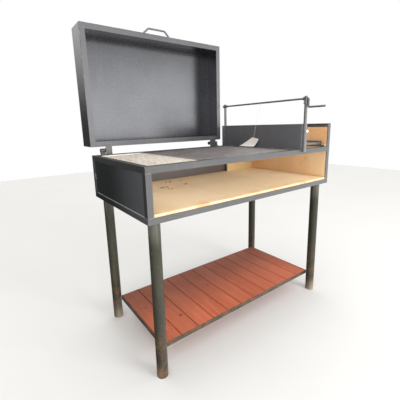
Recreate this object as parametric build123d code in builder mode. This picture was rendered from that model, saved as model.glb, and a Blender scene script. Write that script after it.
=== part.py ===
"""Welded charcoal grill table: a brick-lined fire compartment with a hinged box lid, a raised fire
box with a crank shaft above it, four tube legs and a slatted shelf.

Millimetres, +Z up. Places are measured from the front left corner of the body on the floor:
x to the right, y to the back, z up. The row's origin is on the floor below the middle of the
whole object's box, so level(), side() and front() carry every sketch there.
"""

from build123d import *
from math import pi, radians, tan
import os

# Body
BODY_L = 1160.0
BODY_D = 600.0
BODY_BOTTOM = 688.0
BODY_TOP = 900.0
RAISED_TOP = 1030.0
DIVIDER_X = 893.0
UPRIGHT_END_X = 918.0

# Stock
ANGLE = 25.0
WALL = 3.0
SHEET = 2.0
PIPE_R = 21.3 / 2
ROD_R = 8.0
RUNNING = 0.06
CLEAR = 0.3

# Legs and shelf
LEG_R = 48.3 / 2
LEG_WALL = 3.0
FOOT_T = 3.0
LEG_X = 46.0
LEG_Y = 48.0
SHELF_INSET = 18.0
SHELF_TOP = 123.0
SHELF_ANGLE = 20.0
BOARD_COUNT = 11
BOARD_GAP = 4.0

# Brick lining
SLAB_TOP = 723.0
BRICK_T = 20.0
BRICK_W = 114.0
COURSE_JOINT_Z = 915.0
LAST_JOINT_Y = 568.0
BRICK_TOP = 1010.0
LINING_START_X = 888.0

# Grates
LEDGE_TOP = 889.0
GRATE_FRONT = 28.0
GRATE_BACK = 572.0
BAR_R = 4.0
BAR_PITCH = 18.0
EMBER_BOTTOM = 910.0
EMBER_TOP = 933.0

# Lid, drawn standing open
LID_L = 857.0
LID_BOTTOM = 940.0
LID_TOP = 1523.0
LID_FRONT = 606.0
LID_BACK = 733.0
PIN_Y = 621.5
PIN_Z = 919.0

# Crank shaft over the fire box
SOCKET_X = 904.0
SOCKET_OUT = 6.0
SOCKET_FRONT_Y = -SOCKET_OUT
SOCKET_BACK_Y = BODY_D + SOCKET_OUT
SOCKET_TOP = 1031.0
SOCKET_LAP = 12.0
POST_TOP = 1168.0
SHAFT_Z = 1155.0
SHAFT_R = 5.0
SHAFT_BACK_Y = 624.0
ARM_Y = -21.0
ARM_LENGTH = 42.0
GRIP_END_Y = -112.0

LEFT = -BODY_L / 2
MID_Y = (LID_BACK + GRIP_END_Y) / 2


def level(z):
    """A floor plan at height z: x to the right, y to the back."""
    return Plane(origin=(LEFT, -MID_Y, z))


def side(x):
    """A section across the body at x: depth to the right, height up. Extrudes towards +X."""
    return Plane(origin=(LEFT + x, -MID_Y, 0), x_dir=(0, 1, 0), z_dir=(1, 0, 0))


def front(y):
    """A front view at depth y: x to the right, height up. Extrudes towards the front."""
    return Plane(origin=(LEFT, -MID_Y + y, 0), x_dir=(1, 0, 0), z_dir=(0, -1, 0))


def span(low_u, high_u, low_v, high_v, mode=Mode.ADD):
    """A rectangle between two pairs of coordinates, in the sketch that is open."""
    with Locations(((low_u + high_u) / 2, (low_v + high_v) / 2)):
        Rectangle(high_u - low_u, high_v - low_v, mode=mode)


def disc(u, v, radius, mode=Mode.ADD):
    """A circle about one point, in the sketch that is open."""
    with Locations((u, v)):
        Circle(radius, mode=mode)


def save(builder, name):
    """Labels a finished piece and writes its file."""
    builder.part.label = name
    export_step(builder.part, f"parts/{name}.step")


def plate(name, plane, spans, thickness):
    """A flat piece made of rectangles that touch, such as a sheet or a bar."""
    with BuildPart() as piece:
        with BuildSketch(plane):
            for edges in spans:
                span(*edges)
        extrude(amount=thickness)
    save(piece, name)


def angle_bar(name, plane, heel, legs, length):
    """Angle iron along the plane's normal: its heel, and which way its two legs point."""
    u, v = heel
    along_u, along_v = legs
    with BuildPart() as piece:
        with BuildSketch(plane):
            with BuildLine():
                Polyline(
                    (u, v),
                    (u + along_u * ANGLE, v),
                    (u + along_u * ANGLE, v + along_v * WALL),
                    (u + along_u * WALL, v + along_v * WALL),
                    (u + along_u * WALL, v + along_v * ANGLE),
                    (u, v + along_v * ANGLE),
                    close=True,
                )
            make_face()
        extrude(amount=length)
    save(piece, name)


def mitred_side(rect, side_index, width):
    """One side of a mitred frame in plan, numbered front, right, back, left from 0."""
    low_x, low_y, high_x, high_y = rect
    outer = [(low_x, low_y), (high_x, low_y), (high_x, high_y), (low_x, high_y)]
    inner = [
        (low_x + width, low_y + width),
        (high_x - width, low_y + width),
        (high_x - width, high_y - width),
        (low_x + width, high_y - width),
    ]
    following = (side_index + 1) % 4
    Polygon(outer[side_index], outer[following], inner[following], inner[side_index], align=None)


def rail_solid(rect, side_index, bottom, flange_up, keep=None, size=ANGLE):
    """A mitred length of angle iron: its flange points inwards at the top or at the bottom."""
    flange_z = bottom + size - WALL if flange_up else bottom
    with BuildPart() as rail:
        with BuildSketch(level(flange_z)):
            mitred_side(rect, side_index, size)
            if keep:
                span(*keep, mode=Mode.INTERSECT)
        extrude(amount=WALL)
        with BuildSketch(level(bottom)):
            mitred_side(rect, side_index, WALL)
            if keep:
                span(*keep, mode=Mode.INTERSECT)
        extrude(amount=size)
    return rail


os.makedirs("parts", exist_ok=True)

BODY_RECT = (0, 0, BODY_L, BODY_D)
RAISED_RECT = (DIVIDER_X, 0, BODY_L, BODY_D)
INNER_LEFT = WALL + SHEET
INNER_RIGHT = BODY_L - WALL - SHEET
INNER_BACK = BODY_D - WALL - SHEET
PANEL_BOTTOM = BODY_BOTTOM + WALL

# ---------------------------------------------------------------- legs

# Each tube stands on a welded end plate, and the floor plate closes its top.
LEG_PLACES = {
    "leg_front_left": (LEG_X, LEG_Y),
    "leg_front_right": (BODY_L - LEG_X, LEG_Y),
    "leg_back_left": (LEG_X, BODY_D - LEG_Y),
    "leg_back_right": (BODY_L - LEG_X, BODY_D - LEG_Y),
}
for leg_name, (leg_x, leg_y) in LEG_PLACES.items():
    with BuildPart() as leg:
        with BuildSketch(level(0)):
            disc(leg_x, leg_y, LEG_R)
        extrude(amount=BODY_BOTTOM)
        with BuildSketch(level(FOOT_T)):
            disc(leg_x, leg_y, LEG_R - LEG_WALL)
        extrude(amount=BODY_BOTTOM - FOOT_T, mode=Mode.SUBTRACT)
    save(leg, leg_name)

# ---------------------------------------------------------------- body frame

for rail_index, place in enumerate(("front", "right", "back", "left")):
    save(rail_solid(BODY_RECT, rail_index, BODY_BOTTOM, flange_up=False), f"base_rail_{place}")

TOP_RAIL_BOTTOM = BODY_TOP - ANGLE
top_rail_front = rail_solid(
    BODY_RECT, 0, TOP_RAIL_BOTTOM, flange_up=True, keep=(0, BODY_L - ANGLE, 0, BODY_D)
)
save(top_rail_front, "top_rail_front")
top_rail_back = rail_solid(
    BODY_RECT, 2, TOP_RAIL_BOTTOM, flange_up=True, keep=(0, UPRIGHT_END_X, 0, BODY_D)
)
save(top_rail_back, "top_rail_back")
top_rail_left = rail_solid(BODY_RECT, 3, TOP_RAIL_BOTTOM, flange_up=True)
save(top_rail_left, "top_rail_left")

raised_right = rail_solid(
    RAISED_RECT, 1, RAISED_TOP - ANGLE, flange_up=True, keep=(0, BODY_L, ANGLE, BODY_D)
)
raised_back = rail_solid(
    RAISED_RECT, 2, RAISED_TOP - ANGLE, flange_up=True, keep=(UPRIGHT_END_X, BODY_L, 0, BODY_D)
)
with BuildPart() as raised_rails:
    add(raised_right.part)
    add(raised_back.part)
save(raised_rails, "raised_rails")

UPRIGHT_BOTTOM = BODY_BOTTOM + ANGLE
upright_plan = level(UPRIGHT_BOTTOM)
LOW_UPRIGHT = TOP_RAIL_BOTTOM - UPRIGHT_BOTTOM
angle_bar("upright_front_left", upright_plan, (0, 0), (1, 1), LOW_UPRIGHT)
angle_bar("upright_back_left", upright_plan, (0, BODY_D), (1, -1), LOW_UPRIGHT)
angle_bar("upright_front_right", upright_plan, (BODY_L, 0), (-1, 1), RAISED_TOP - UPRIGHT_BOTTOM)
angle_bar(
    "upright_back_right",
    upright_plan,
    (BODY_L, BODY_D),
    (-1, -1),
    RAISED_TOP - ANGLE - UPRIGHT_BOTTOM,
)

# The cross rail closes the cooking area; the ember rail crosses the fire box behind it.
angle_bar("cross_rail", front(BODY_D - ANGLE), (DIVIDER_X, BODY_TOP), (-1, -1), BODY_D - 2 * ANGLE)
LINING_FACE_Y = INNER_BACK - BRICK_T
LINING_FACE_X = INNER_RIGHT - BRICK_T
angle_bar(
    "ember_rail",
    side(DIVIDER_X),
    (LINING_FACE_Y, BODY_TOP),
    (-1, -1),
    LINING_FACE_X - DIVIDER_X,
)

# ---------------------------------------------------------------- sheets

panel_spans = [(WALL, BODY_D - WALL, PANEL_BOTTOM, BODY_TOP - WALL)]
plate("left_panel", side(WALL), panel_spans, SHEET)
raised_spans = [(WALL, BODY_D - WALL, PANEL_BOTTOM, RAISED_TOP - WALL)]
plate("right_panel", side(INNER_RIGHT), raised_spans, SHEET)
plate(
    "back_panel",
    front(BODY_D - WALL),
    [
        (INNER_LEFT, INNER_RIGHT, PANEL_BOTTOM, BODY_TOP - WALL),
        (UPRIGHT_END_X, INNER_RIGHT, PANEL_BOTTOM, RAISED_TOP - WALL),
    ],
    SHEET,
)
plate("floor_plate", level(BODY_BOTTOM), [(ANGLE, BODY_L - ANGLE, ANGLE, BODY_D - ANGLE)], WALL)
plate(
    "divider_plate",
    side(DIVIDER_X - WALL),
    [(0, BODY_D - WALL, BODY_TOP, RAISED_TOP)],
    WALL,
)

# A flat bar on the divider's front edge, and one across its back end.
with BuildPart() as divider_uprights:
    with BuildSketch(side(DIVIDER_X - 2 * WALL)):
        span(0, ANGLE, BODY_TOP, RAISED_TOP)
    extrude(amount=WALL)
    with BuildSketch(front(BODY_D)):
        span(DIVIDER_X - ANGLE, DIVIDER_X, BODY_TOP, RAISED_TOP)
    extrude(amount=WALL)
save(divider_uprights, "divider_uprights")

# ---------------------------------------------------------------- brick lining

SLAB_JOINTS_X = (INNER_LEFT, 414.0, 790.0, INNER_RIGHT)
SLAB_JOINTS_Y = (WALL, 330.0, INNER_BACK)
MORTAR = 0.5


def tiles(plane, joints_u, joints_v, thickness):
    """Separate blocks between two lists of joint lines, a hair apart."""
    with BuildPart() as group:
        with BuildSketch(plane):
            for low_u, high_u in zip(joints_u, joints_u[1:]):
                for low_v, high_v in zip(joints_v, joints_v[1:]):
                    span(low_u + MORTAR, high_u - MORTAR, low_v + MORTAR, high_v - MORTAR)
        extrude(amount=thickness)
    return group


save(tiles(level(PANEL_BOTTOM), SLAB_JOINTS_X, SLAB_JOINTS_Y, SLAB_TOP - PANEL_BOTTOM), "floor_slabs")

course_joints = (SLAB_TOP, COURSE_JOINT_Z, BRICK_TOP)
right_joints = [WALL + SHEET]
right_joints += [LAST_JOINT_Y - BRICK_W * step for step in (4, 3, 2, 1, 0)]
right_joints += [INNER_BACK]
save(tiles(side(LINING_FACE_X), right_joints, course_joints, BRICK_T), "right_wall_bricks")

# Behind the divider the lining is a cut strip that ends below the grate ledge.
back_joints = (UPRIGHT_END_X, (UPRIGHT_END_X + LINING_FACE_X) / 2, LINING_FACE_X)
LEDGE_BOTTOM = LEDGE_TOP - WALL
back_tall = tiles(front(INNER_BACK), back_joints, course_joints, BRICK_T)
back_low = tiles(
    front(INNER_BACK), (LINING_START_X, UPRIGHT_END_X), (SLAB_TOP, LEDGE_BOTTOM), BRICK_T
)
with BuildPart() as back_wall_bricks:
    add(back_tall.part)
    add(back_low.part)
save(back_wall_bricks, "back_wall_bricks")

plate(
    "brick_stop",
    side(LINING_START_X - WALL),
    [(INNER_BACK - BRICK_T - SHEET, INNER_BACK, SLAB_TOP, LEDGE_BOTTOM)],
    WALL,
)

# ---------------------------------------------------------------- ledges and grates

LEDGE_REACH = 48.0
EMBER_BAR_W = 10.0
EMBER_BAR_XS = (919.0, 1108.0)
with BuildPart() as grate_ledges:
    with BuildSketch(level(LEDGE_BOTTOM)):
        span(INNER_LEFT, DIVIDER_X - WALL, WALL, LEDGE_REACH)
        span(INNER_LEFT, DIVIDER_X - WALL, BODY_D - LEDGE_REACH, INNER_BACK)
    extrude(amount=WALL)
    with BuildSketch(level(BODY_TOP)):
        for bar_x in EMBER_BAR_XS:
            span(bar_x, bar_x + EMBER_BAR_W, WALL, LINING_FACE_Y)
    extrude(amount=EMBER_BOTTOM - BODY_TOP)
save(grate_ledges, "grate_ledges")

# Expanded metal: diamonds with their long way front to back, inside a square bar frame.
MESH_LEFT = 28.0
MESH_RIGHT = 258.0
MESH_BAR = 8.0
DIAMOND_LONG = 60.0
DIAMOND_SHORT = 25.0
STRAND = 3.4
mesh_columns = int((MESH_RIGHT - MESH_LEFT) / DIAMOND_SHORT) + 2
mesh_rows = int((GRATE_BACK - GRATE_FRONT) / DIAMOND_LONG) + 2
mesh_mid_x = (MESH_LEFT + MESH_RIGHT) / 2
grate_mid_y = (GRATE_FRONT + GRATE_BACK) / 2
half_short = (DIAMOND_SHORT - STRAND) / 2
half_long = half_short * DIAMOND_LONG / DIAMOND_SHORT
grate_bottom = LEDGE_TOP + CLEAR
with BuildPart() as mesh_grate:
    with BuildSketch(level(grate_bottom)):
        span(MESH_LEFT, MESH_RIGHT, GRATE_FRONT, GRATE_BACK)
        for shift in (0, 0.5):
            row_mid = (mesh_mid_x + shift * DIAMOND_SHORT, grate_mid_y + shift * DIAMOND_LONG)
            with Locations(row_mid):
                with GridLocations(DIAMOND_SHORT, DIAMOND_LONG, mesh_columns, mesh_rows):
                    Polygon(
                        (half_short, 0),
                        (0, half_long),
                        (-half_short, 0),
                        (0, -half_long),
                        align=None,
                        mode=Mode.SUBTRACT,
                    )
    extrude(amount=WALL)
    with BuildSketch(level(grate_bottom)):
        span(MESH_LEFT, MESH_RIGHT, GRATE_FRONT, GRATE_BACK)
        span(
            MESH_LEFT + MESH_BAR,
            MESH_RIGHT - MESH_BAR,
            GRATE_FRONT + MESH_BAR,
            GRATE_BACK - MESH_BAR,
            mode=Mode.SUBTRACT,
        )
    extrude(amount=MESH_BAR)
save(mesh_grate, "mesh_grate")

# Bar grates: round bars front to back on flat cross bars that hang between the two ledges.
CROSS_BAR_W = 20.0
CROSS_BAR_T = 5.0
CROSS_BAR_INSET = 42.0
WELD_BITE = 0.5
BAR_GRATES = {"bar_grate_left": (264.0, 561.0), "bar_grate_right": (565.0, 862.0)}
cross_bar_ys = (GRATE_FRONT + CROSS_BAR_INSET, grate_mid_y, GRATE_BACK - CROSS_BAR_INSET)
for grate_name, (low_x, high_x) in BAR_GRATES.items():
    bar_gaps = round((high_x - low_x - 2 * BAR_R) / BAR_PITCH)
    bar_step = (high_x - low_x - 2 * BAR_R) / bar_gaps
    with BuildPart() as bar_grate:
        with BuildSketch(front(GRATE_BACK)):
            for bar_index in range(bar_gaps + 1):
                disc(low_x + BAR_R + bar_index * bar_step, grate_bottom + BAR_R, BAR_R)
        extrude(amount=GRATE_BACK - GRATE_FRONT)
        with BuildSketch(level(grate_bottom + WELD_BITE)):
            for cross_y in cross_bar_ys:
                span(low_x, high_x, cross_y - CROSS_BAR_W / 2, cross_y + CROSS_BAR_W / 2)
        extrude(amount=-CROSS_BAR_T)
    save(bar_grate, grate_name)

# Ember grate of the fire box: round rods between two flat side bars.
EMBER_LEFT = 898.0
EMBER_RIGHT = 1126.0
EMBER_SIDE = 5.0
EMBER_FRONT = 28.0
EMBER_BACK = 566.0
EMBER_ROD_R = 5.0
EMBER_RODS = 16
ember_bottom = EMBER_BOTTOM + CLEAR
with BuildPart() as ember_grate:
    with BuildSketch(level(ember_bottom)):
        span(EMBER_LEFT, EMBER_LEFT + EMBER_SIDE, EMBER_FRONT, EMBER_BACK)
        span(EMBER_RIGHT - EMBER_SIDE, EMBER_RIGHT, EMBER_FRONT, EMBER_BACK)
    extrude(amount=EMBER_TOP - ember_bottom)
    with BuildSketch(side(EMBER_LEFT + EMBER_SIDE - WELD_BITE)):
        rod_step = (EMBER_BACK - EMBER_FRONT - 4 * EMBER_ROD_R) / (EMBER_RODS - 1)
        for rod_index in range(EMBER_RODS):
            rod_y = EMBER_FRONT + 2 * EMBER_ROD_R + rod_index * rod_step
            disc(rod_y, ember_bottom + EMBER_ROD_R + WALL, EMBER_ROD_R)
    extrude(amount=EMBER_RIGHT - EMBER_LEFT - 2 * (EMBER_SIDE - WELD_BITE))
save(ember_grate, "ember_grate")

# ---------------------------------------------------------------- shelf

SHELF_RECT = (
    LEG_X + SHELF_INSET,
    LEG_Y + SHELF_INSET,
    BODY_L - LEG_X - SHELF_INSET,
    BODY_D - LEG_Y - SHELF_INSET,
)
SHELF_BOTTOM = SHELF_TOP - SHELF_ANGLE
SCREW_R = 2.0
SCREW_HOLE_R = 2.5
SCREW_HEAD_R = 4.5
SCREW_HEAD_T = 2.5
SCREW_DEPTH = 12.0
shelf_low_x, shelf_low_y, shelf_high_x, shelf_high_y = SHELF_RECT
boards_left = shelf_low_x + WALL + BOARD_GAP / 2
board_pitch = (shelf_high_x - WALL - BOARD_GAP / 2 - boards_left + BOARD_GAP) / BOARD_COUNT
board_lefts = [boards_left + board_pitch * index for index in range(BOARD_COUNT)]
screw_xs = [board_left + (board_pitch - BOARD_GAP) / 2 for board_left in board_lefts]
screw_ys = (shelf_low_y + SHELF_ANGLE / 2, shelf_high_y - SHELF_ANGLE / 2)
screw_places = [(screw_x, screw_y) for screw_x in screw_xs for screw_y in screw_ys]

shelf_sides = [
    rail_solid(SHELF_RECT, index, SHELF_BOTTOM, flange_up=False, size=SHELF_ANGLE)
    for index in range(4)
]
with BuildPart() as shelf_frame:
    for shelf_side in shelf_sides:
        add(shelf_side.part)
    with BuildSketch(level(SHELF_BOTTOM)):
        for screw_x, screw_y in screw_places:
            disc(screw_x, screw_y, SCREW_HOLE_R)
    extrude(amount=WALL, mode=Mode.SUBTRACT)
save(shelf_frame, "shelf_frame")

for board_index, board_left in enumerate(board_lefts):
    with BuildPart() as board:
        with BuildSketch(level(SHELF_BOTTOM + WALL)):
            span(
                board_left,
                board_left + board_pitch - BOARD_GAP,
                shelf_low_y + WALL,
                shelf_high_y - WALL,
            )
        extrude(amount=SHELF_ANGLE - WALL)
        with BuildSketch(level(SHELF_BOTTOM + WALL)):
            for screw_y in screw_ys:
                disc(screw_xs[board_index], screw_y, SCREW_R)
        extrude(amount=SCREW_DEPTH, mode=Mode.SUBTRACT)
    save(board, f"shelf_board_{board_index + 1:02d}")

with BuildPart() as shelf_screws:
    with BuildSketch(level(SHELF_BOTTOM)):
        for screw_x, screw_y in screw_places:
            disc(screw_x, screw_y, SCREW_HEAD_R)
    extrude(amount=-SCREW_HEAD_T)
    with BuildSketch(level(SHELF_BOTTOM)):
        for screw_x, screw_y in screw_places:
            disc(screw_x, screw_y, SCREW_R)
    extrude(amount=WALL + SCREW_DEPTH)
save(shelf_screws, "shelf_screws")

# ---------------------------------------------------------------- lid

LID_CORNER_R = 3.0
with BuildPart() as lid_shell:
    with BuildSketch(front(LID_BACK)):
        span(0, LID_L, LID_BOTTOM, LID_TOP)
    extrude(amount=LID_BACK - LID_FRONT)
    fillet(lid_shell.edges().filter_by(Axis.Y), radius=LID_CORNER_R)
    fillet(lid_shell.faces().sort_by(Axis.Y)[-1].edges(), radius=LID_CORNER_R)
    with BuildSketch(front(LID_BACK - SHEET)):
        span(SHEET, LID_L - SHEET, LID_BOTTOM + SHEET, LID_TOP - SHEET)
    extrude(amount=LID_BACK - SHEET - LID_FRONT, mode=Mode.SUBTRACT)
save(lid_shell, "lid_shell")

# Mitred angle iron inside the lid's mouth: a flange in the mouth's plane and a leg along the wall.
RIM_CORNERS = (SHEET, LID_BOTTOM + SHEET, LID_L - SHEET, LID_TOP - SHEET)
rim_left, rim_bottom, rim_right, rim_top = RIM_CORNERS
with BuildPart() as lid_rim:
    for band, depth in ((ANGLE, WALL), (WALL, ANGLE)):
        with BuildSketch(front(LID_FRONT)):
            span(rim_left, rim_right, rim_bottom, rim_top)
            span(
                rim_left + band,
                rim_right - band,
                rim_bottom + band,
                rim_top - band,
                mode=Mode.SUBTRACT,
            )
        extrude(amount=-depth)
save(lid_rim, "lid_rim")

HANDLE_Y = 643.0
HANDLE_R = 5.0
HANDLE_FOOT_XS = (338.0, 517.0)
HANDLE_TOP_XS = (380.0, 481.0)
HANDLE_Z = 1561.0
HANDLE_BEND_R = 16.0
HANDLE_SUNK = 10.0
foot_slope = (HANDLE_TOP_XS[0] - HANDLE_FOOT_XS[0]) / (HANDLE_Z - LID_TOP)
sunk_run = foot_slope * HANDLE_SUNK
handle_plane = front(HANDLE_Y)
with BuildPart() as lid_handle:
    with BuildLine(handle_plane) as handle_path:
        FilletPolyline(
            (HANDLE_FOOT_XS[0] - sunk_run, LID_TOP - HANDLE_SUNK),
            (HANDLE_TOP_XS[0], HANDLE_Z),
            (HANDLE_TOP_XS[1], HANDLE_Z),
            (HANDLE_FOOT_XS[1] + sunk_run, LID_TOP - HANDLE_SUNK),
            radius=HANDLE_BEND_R,
        )
    with BuildSketch(Plane(origin=handle_path.line @ 0, z_dir=handle_path.line % 0)):
        Circle(HANDLE_R)
    sweep(path=handle_path.line)
    split(bisect_by=level(LID_TOP), keep=Keep.TOP)
save(lid_handle, "lid_handle")

# ---------------------------------------------------------------- hinges

BASE_SPANS = ((52.0, 74.0), (812.0, 834.0))
LUG_SPANS = ((75.0, 108.0), (767.0, 811.0))
PIN_SPANS = ((60.0, 106.0), (769.0, 826.0))
BASE_LOW = 876.0
BASE_FOOT_T = 5.0
BODY_BACK_CLEAR = BODY_D + 0.4


def barrel_section():
    """The outline of a hinge barrel, in a section that is open."""
    disc(PIN_Y, PIN_Z, PIPE_R)


with BuildPart() as hinge_bases:
    for low_x, high_x in BASE_SPANS:
        with BuildSketch(side(low_x)):
            barrel_section()
            Polygon(
                (BODY_D, BASE_LOW),
                (BODY_D + BASE_FOOT_T, BASE_LOW),
                (PIN_Y + PIPE_R - 2, PIN_Z - 8),
                (PIN_Y - 7, PIN_Z - 6),
                (BODY_D, BODY_TOP - 1),
                align=None,
            )
            disc(PIN_Y, PIN_Z, ROD_R, mode=Mode.SUBTRACT)
        extrude(amount=high_x - low_x)
save(hinge_bases, "hinge_bases")

LUG_TOP = 953.0
LUG_TAIL = 886.0
LUG_FACE_Y = LID_FRONT - WALL
with BuildPart() as hinge_lugs:
    for low_x, high_x in LUG_SPANS:
        with BuildSketch(side(low_x)):
            barrel_section()
            span(LUG_FACE_Y, LID_FRONT, LUG_TAIL, LUG_TOP)
            span(BODY_BACK_CLEAR, LUG_FACE_Y, LUG_TAIL, BODY_TOP - WALL)
            span(LID_FRONT, PIN_Y, PIN_Z - ROD_R, PIN_Z + ROD_R)
            disc(PIN_Y, PIN_Z, ROD_R + RUNNING, mode=Mode.SUBTRACT)
        extrude(amount=high_x - low_x)
save(hinge_lugs, "hinge_lugs")

with BuildPart() as hinge_pins:
    for low_x, high_x in PIN_SPANS:
        with BuildSketch(side(low_x)):
            disc(PIN_Y, PIN_Z, ROD_R)
        extrude(amount=high_x - low_x)
save(hinge_pins, "hinge_pins")

# ---------------------------------------------------------------- posts and crank

BOLT_Z = 993.0
BOLT_R = 4.0
BOLT_HEAD_R = 7.5
BOLT_HEAD_T = 5.5
BOLT_HEAD_GAP = 0.2
POST_CHAMFER = 1.5
POST_YS = (SOCKET_FRONT_Y, SOCKET_BACK_Y)
# Each pipe stands on the rail's outer edge, is notched there, and laps down over the rail's face.
with BuildPart() as post_sockets:
    for post_y in POST_YS:
        with BuildSketch(level(BODY_TOP - SOCKET_LAP)):
            disc(SOCKET_X, post_y, PIPE_R)
            disc(SOCKET_X, post_y, ROD_R + RUNNING, mode=Mode.SUBTRACT)
        extrude(amount=SOCKET_TOP - BODY_TOP + SOCKET_LAP)
    with BuildSketch(level(BODY_TOP)):
        span(SOCKET_X - ANGLE, SOCKET_X + ANGLE, 0, BODY_D)
    extrude(amount=-SOCKET_LAP, mode=Mode.SUBTRACT)
    for post_y, outward in zip(POST_YS, (1, -1)):
        with BuildSketch(front(post_y)):
            disc(SOCKET_X, BOLT_Z, BOLT_R)
        extrude(amount=outward * (PIPE_R + 1), mode=Mode.SUBTRACT)
save(post_sockets, "post_sockets")

with BuildPart() as socket_bolts:
    for post_y, outward in zip(POST_YS, (1, -1)):
        with BuildSketch(front(post_y - outward * (ROD_R + CLEAR))):
            disc(SOCKET_X, BOLT_Z, BOLT_R)
        extrude(amount=outward * (PIPE_R - ROD_R))
        with BuildSketch(front(post_y - outward * (PIPE_R + BOLT_HEAD_GAP))):
            with Locations((SOCKET_X, BOLT_Z)):
                RegularPolygon(BOLT_HEAD_R, 6)
        extrude(amount=outward * BOLT_HEAD_T)
save(socket_bolts, "socket_bolts")

with BuildPart() as mast_posts:
    with BuildSketch(level(BODY_TOP + CLEAR)):
        for post_y in POST_YS:
            disc(SOCKET_X, post_y, ROD_R)
    extrude(amount=POST_TOP - BODY_TOP - CLEAR)
    chamfer(mast_posts.faces().group_by(Axis.Z)[-1].edges(), length=POST_CHAMFER)
    with BuildSketch(front(SHAFT_BACK_Y)):
        disc(SOCKET_X, SHAFT_Z, SHAFT_R + RUNNING)
    extrude(amount=SHAFT_BACK_Y - ARM_Y, mode=Mode.SUBTRACT)
save(mast_posts, "mast_posts")

COLLAR_BOTTOM = 1128.0
COLLAR_TOP = 1145.0
POST_COLLAR_R = 9.8
NUB_R = 3.0
NUB_OUT = 19.0
with BuildPart() as post_collar:
    with BuildSketch(level(COLLAR_BOTTOM)):
        disc(SOCKET_X, SOCKET_FRONT_Y, POST_COLLAR_R)
        disc(SOCKET_X, SOCKET_FRONT_Y, ROD_R, mode=Mode.SUBTRACT)
    extrude(amount=COLLAR_TOP - COLLAR_BOTTOM)
    with BuildSketch(side(SOCKET_X - NUB_OUT)):
        disc(SOCKET_FRONT_Y, COLLAR_BOTTOM + NUB_R + 1, NUB_R)
    extrude(amount=NUB_OUT - ROD_R - WELD_BITE)
save(post_collar, "post_collar")

ARM_BEND_R = 6.5
with BuildPart() as crank_shaft:
    with BuildLine(side(SOCKET_X)) as crank_path:
        FilletPolyline(
            (SHAFT_BACK_Y, SHAFT_Z),
            (ARM_Y, SHAFT_Z),
            (ARM_Y, SHAFT_Z - ARM_LENGTH),
            (GRIP_END_Y, SHAFT_Z - ARM_LENGTH),
            radius=ARM_BEND_R,
        )
    with BuildSketch(Plane(origin=crank_path.line @ 0, z_dir=crank_path.line % 0)):
        Circle(SHAFT_R)
    sweep(path=crank_path.line)
save(crank_shaft, "crank_shaft")

COLLAR_R = 9.0
COLLAR_T = 8.0
POST_GAP = ROD_R + CLEAR
collar_fronts = (
    SOCKET_FRONT_Y + POST_GAP,
    SOCKET_BACK_Y - POST_GAP - COLLAR_T,
    SOCKET_BACK_Y + POST_GAP,
)
with BuildPart() as shaft_collars:
    for collar_front in collar_fronts:
        with BuildSketch(front(collar_front)):
            disc(SOCKET_X, SHAFT_Z, COLLAR_R)
            disc(SOCKET_X, SHAFT_Z, SHAFT_R, mode=Mode.SUBTRACT)
        extrude(amount=-COLLAR_T)
save(shaft_collars, "shaft_collars")

# ---------------------------------------------------------------- swing tag

# A limp string loops over the shaft and leans down to a blank card beside the divider.
STRING_R = 0.75
STRING_ROUTE = [
    (904.0, 298.0, SHAFT_Z - SHAFT_R - 1.2),
    (899.0, 299.0, 1116.0),
    (889.0, 301.0, 1082.0),
    (880.5, 304.0, 1046.0),
    (875.0, 307.5, 1010.0),
    (872.5, 313.0, 980.0),
    (872.5, 318.0, 958.5),
]
route = [Vector(LEFT + x, y - MID_Y, z) for x, y, z in STRING_ROUTE]
runs = [later - earlier for earlier, later in zip(route, route[1:])]
bends = []
for before, after in zip(runs, runs[1:]):
    half_turn = radians(before.get_angle(after)) / 2
    bends.append(0.45 * min(before.length, after.length) / tan(half_turn))
print("string bend radii", [round(bend) for bend in bends])
with BuildPart() as tag_string:
    with BuildLine() as string_path:
        FilletPolyline(*route, radius=bends)
    with BuildSketch(Plane(origin=string_path.line @ 0, z_dir=string_path.line % 0)):
        Circle(STRING_R)
    sweep(path=string_path.line)
string_length = string_path.wires()[0].length
string_volume = string_length * pi * STRING_R**2
print("string length", round(string_length, 1), "mm; volume over section times length:",
      round(tag_string.part.volume / string_volume, 4))
save(tag_string, "tag_string")

TAG_X = 872.0
TAG_T = 1.0
TAG_CORNERS = ((277, 949), (329, 958), (437, 902), (313, 904))
with BuildPart() as swing_tag:
    with BuildSketch(side(TAG_X)):
        Polygon(*TAG_CORNERS, align=None)
    extrude(amount=TAG_T)
save(swing_tag, "swing_tag")
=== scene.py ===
"""Looks of the charcoal grill table: camera, light, finishes and the pieces that CAD keeps plain.

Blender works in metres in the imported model's frame. Lengths here are millimetres: at() places
a point measured from the front left corner of the body on the floor, x to the right, y to the
back and z up, and MM turns a length into metres.
"""

import math
import random

import bmesh
import bpy
from mathutils import Matrix, Vector, noise


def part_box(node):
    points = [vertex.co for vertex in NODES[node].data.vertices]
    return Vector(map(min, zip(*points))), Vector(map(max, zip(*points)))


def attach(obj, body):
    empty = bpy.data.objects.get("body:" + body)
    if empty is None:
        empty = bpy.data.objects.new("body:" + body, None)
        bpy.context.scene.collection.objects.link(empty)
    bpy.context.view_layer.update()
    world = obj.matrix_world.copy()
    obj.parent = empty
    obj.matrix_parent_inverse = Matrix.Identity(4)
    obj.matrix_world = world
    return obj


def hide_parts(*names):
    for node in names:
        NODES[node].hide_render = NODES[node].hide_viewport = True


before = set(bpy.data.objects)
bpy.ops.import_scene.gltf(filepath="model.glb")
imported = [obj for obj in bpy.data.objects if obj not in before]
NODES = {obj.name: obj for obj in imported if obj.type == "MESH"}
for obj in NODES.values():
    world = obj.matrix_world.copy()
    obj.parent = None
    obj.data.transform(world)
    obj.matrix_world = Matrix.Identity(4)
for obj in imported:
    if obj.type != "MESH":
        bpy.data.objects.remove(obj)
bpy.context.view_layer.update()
MM = 0.001
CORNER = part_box("base_rail_front")[0]
CORNER.z = 0


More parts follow.
